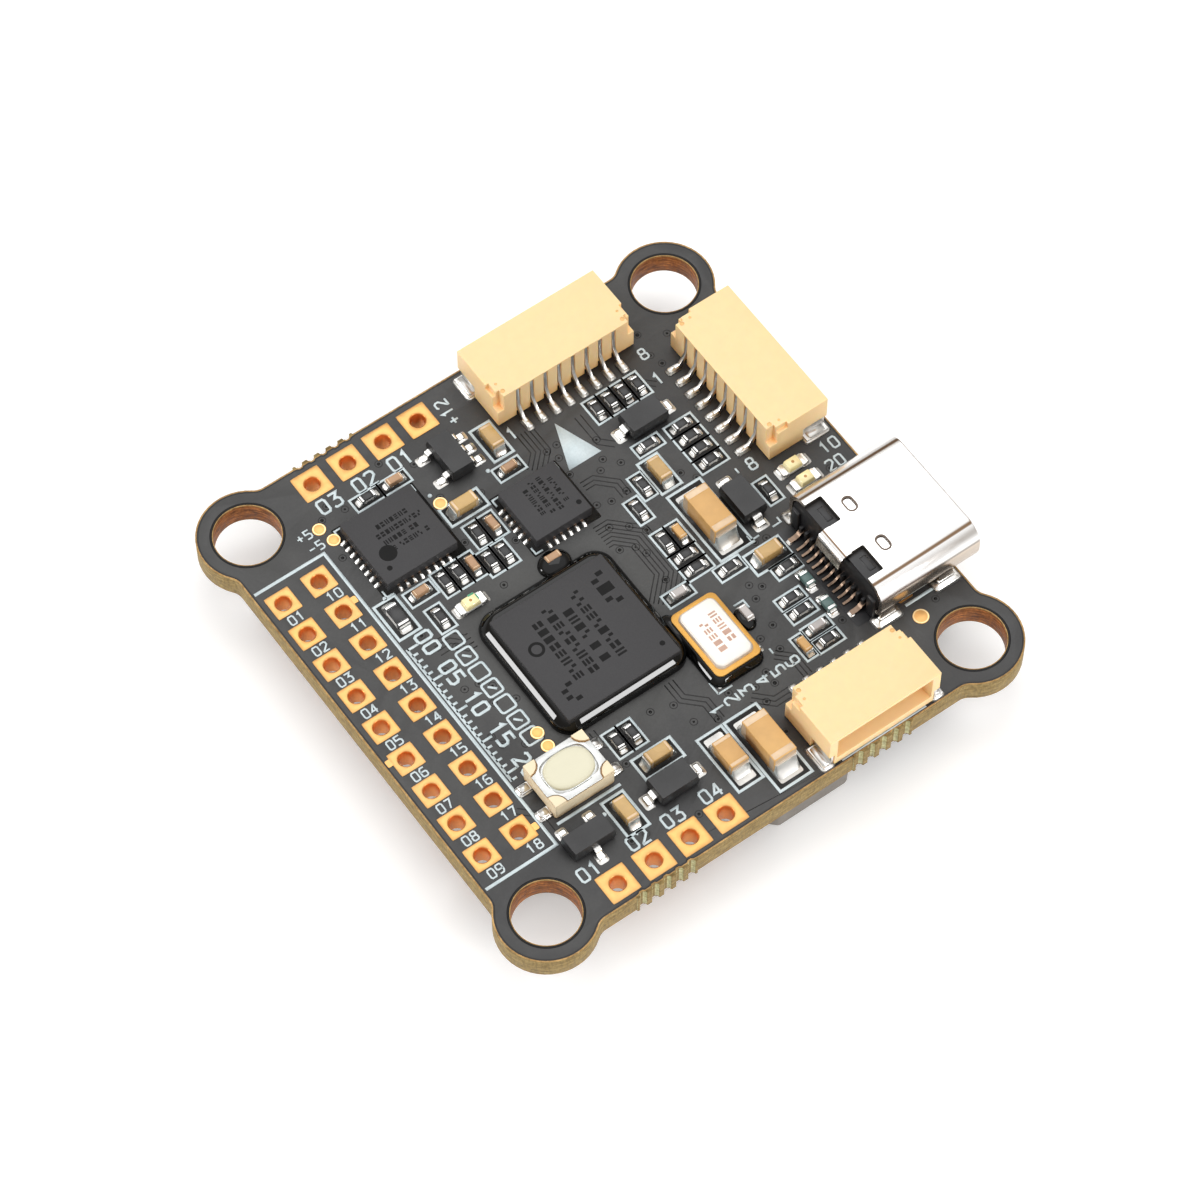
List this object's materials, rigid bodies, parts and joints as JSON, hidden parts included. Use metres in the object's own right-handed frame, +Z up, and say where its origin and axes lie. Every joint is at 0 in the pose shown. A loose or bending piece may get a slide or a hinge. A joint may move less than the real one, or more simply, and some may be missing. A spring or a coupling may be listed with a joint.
{
  "type": "flight controller board",
  "caption": "Small square drone flight controller board with mounting lugs at its corners, side-entry ports, a USB-C socket, chips and a sprung push button.",
  "frame": {"origin": "centre of the 30.5 mm square of mounting holes, on the board's underside", "axes": "+Z up, from the underside to the component side; +Y forward, towards the edge that port A faces; +X right, the way the USB-C socket faces"},
  "size_m": [0.0371, 0.0366, 0.0076],
  "materials": {
    "solder_mask": "matte dark grey solder mask on glass-epoxy laminate with tan cut edges",
    "port_plastic": "moulded cream nylon",
    "switch_plastic": "moulded cream plastic",
    "black_plastic": "moulded black plastic",
    "chip_plastic": "fine-grained black mould compound",
    "epoxy": "glossy black epoxy",
    "tin": "satin tin plate",
    "steel": "satin nickel-plated steel",
    "gold": "gold plate",
    "lid": "pale satin metal lid",
    "capacitor": "fired tan ceramic with plated ends",
    "resistor": "dark glazed ceramic with plated ends",
    "led": "clear yellowish resin",
    "ferrite": "grey pressed iron powder"
  },
  "bodies": {
    "board": {"barometer": "lid", "boot_switch_base": "switch_plastic", "boot_switch_cover": "steel", "boot_switch_dome": "steel", "boot_switch_left_terminals": "tin", "boot_switch_right_terminals": "tin", "capacitor_0603_1": "capacitor", "capacitor_0603_2": "capacitor", "capacitor_0603_3": "capacitor", "capacitor_0603_4": "capacitor", "capacitor_0603_5": "capacitor", "capacitor_0603_6": "capacitor", "capacitor_0805": "capacitor", "capacitor_1206_a": "capacitor", "capacitor_1206_b": "capacitor", "circuit_board": "solder_mask", "crystal_base": "gold", "crystal_lid": "lid", "diode_a": "chip_plastic", "diode_b": "chip_plastic", "diode_c": "chip_plastic", "five_pin_regulator": "chip_plastic", "flash_memory": "chip_plastic", "input_capacitor_a": "capacitor", "input_capacitor_b": "capacitor", "microcontroller": "chip_plastic", "microcontroller_underfill": "epoxy", "motion_sensor": "chip_plastic", "port_a_contacts": "tin", "port_a_housing": "port_plastic", "port_a_left_solder_tab": "tin", "port_a_right_solder_tab": "tin", "port_b_contacts": "tin", "port_b_housing": "port_plastic", "port_b_left_solder_tab": "tin", "port_b_right_solder_tab": "tin", "port_c_contacts": "tin", "port_c_housing": "port_plastic", "port_c_left_solder_tab": "tin", "port_c_right_solder_tab": "tin", "power_inductor_a": "ferrite", "power_inductor_b": "ferrite", "power_led": "led", "radio_chip": "chip_plastic", "resistor_0603": "resistor", "status_led_left": "led", "status_led_right": "led", "step_down_converter_a": "chip_plastic", "step_down_converter_b": "chip_plastic", "three_pin_regulator": "chip_plastic", "usb_contacts": "gold", "usb_insulator": "black_plastic", "usb_protection_a": "chip_plastic", "usb_protection_b": "chip_plastic", "usb_shell": "steel", "video_overlay_chip": "chip_plastic"},
    "boot_button": {"boot_button": "switch_plastic"}
  },
  "joints": [
    {"name": "boot_button_press", "type": "slide", "parent": "board", "child": "boot_button", "axis": [0, 0, -1], "range_m": [0, 0.00025], "stiffness_N_per_m": 6400, "deforming": ["boot_switch_dome"]}
  ]
}
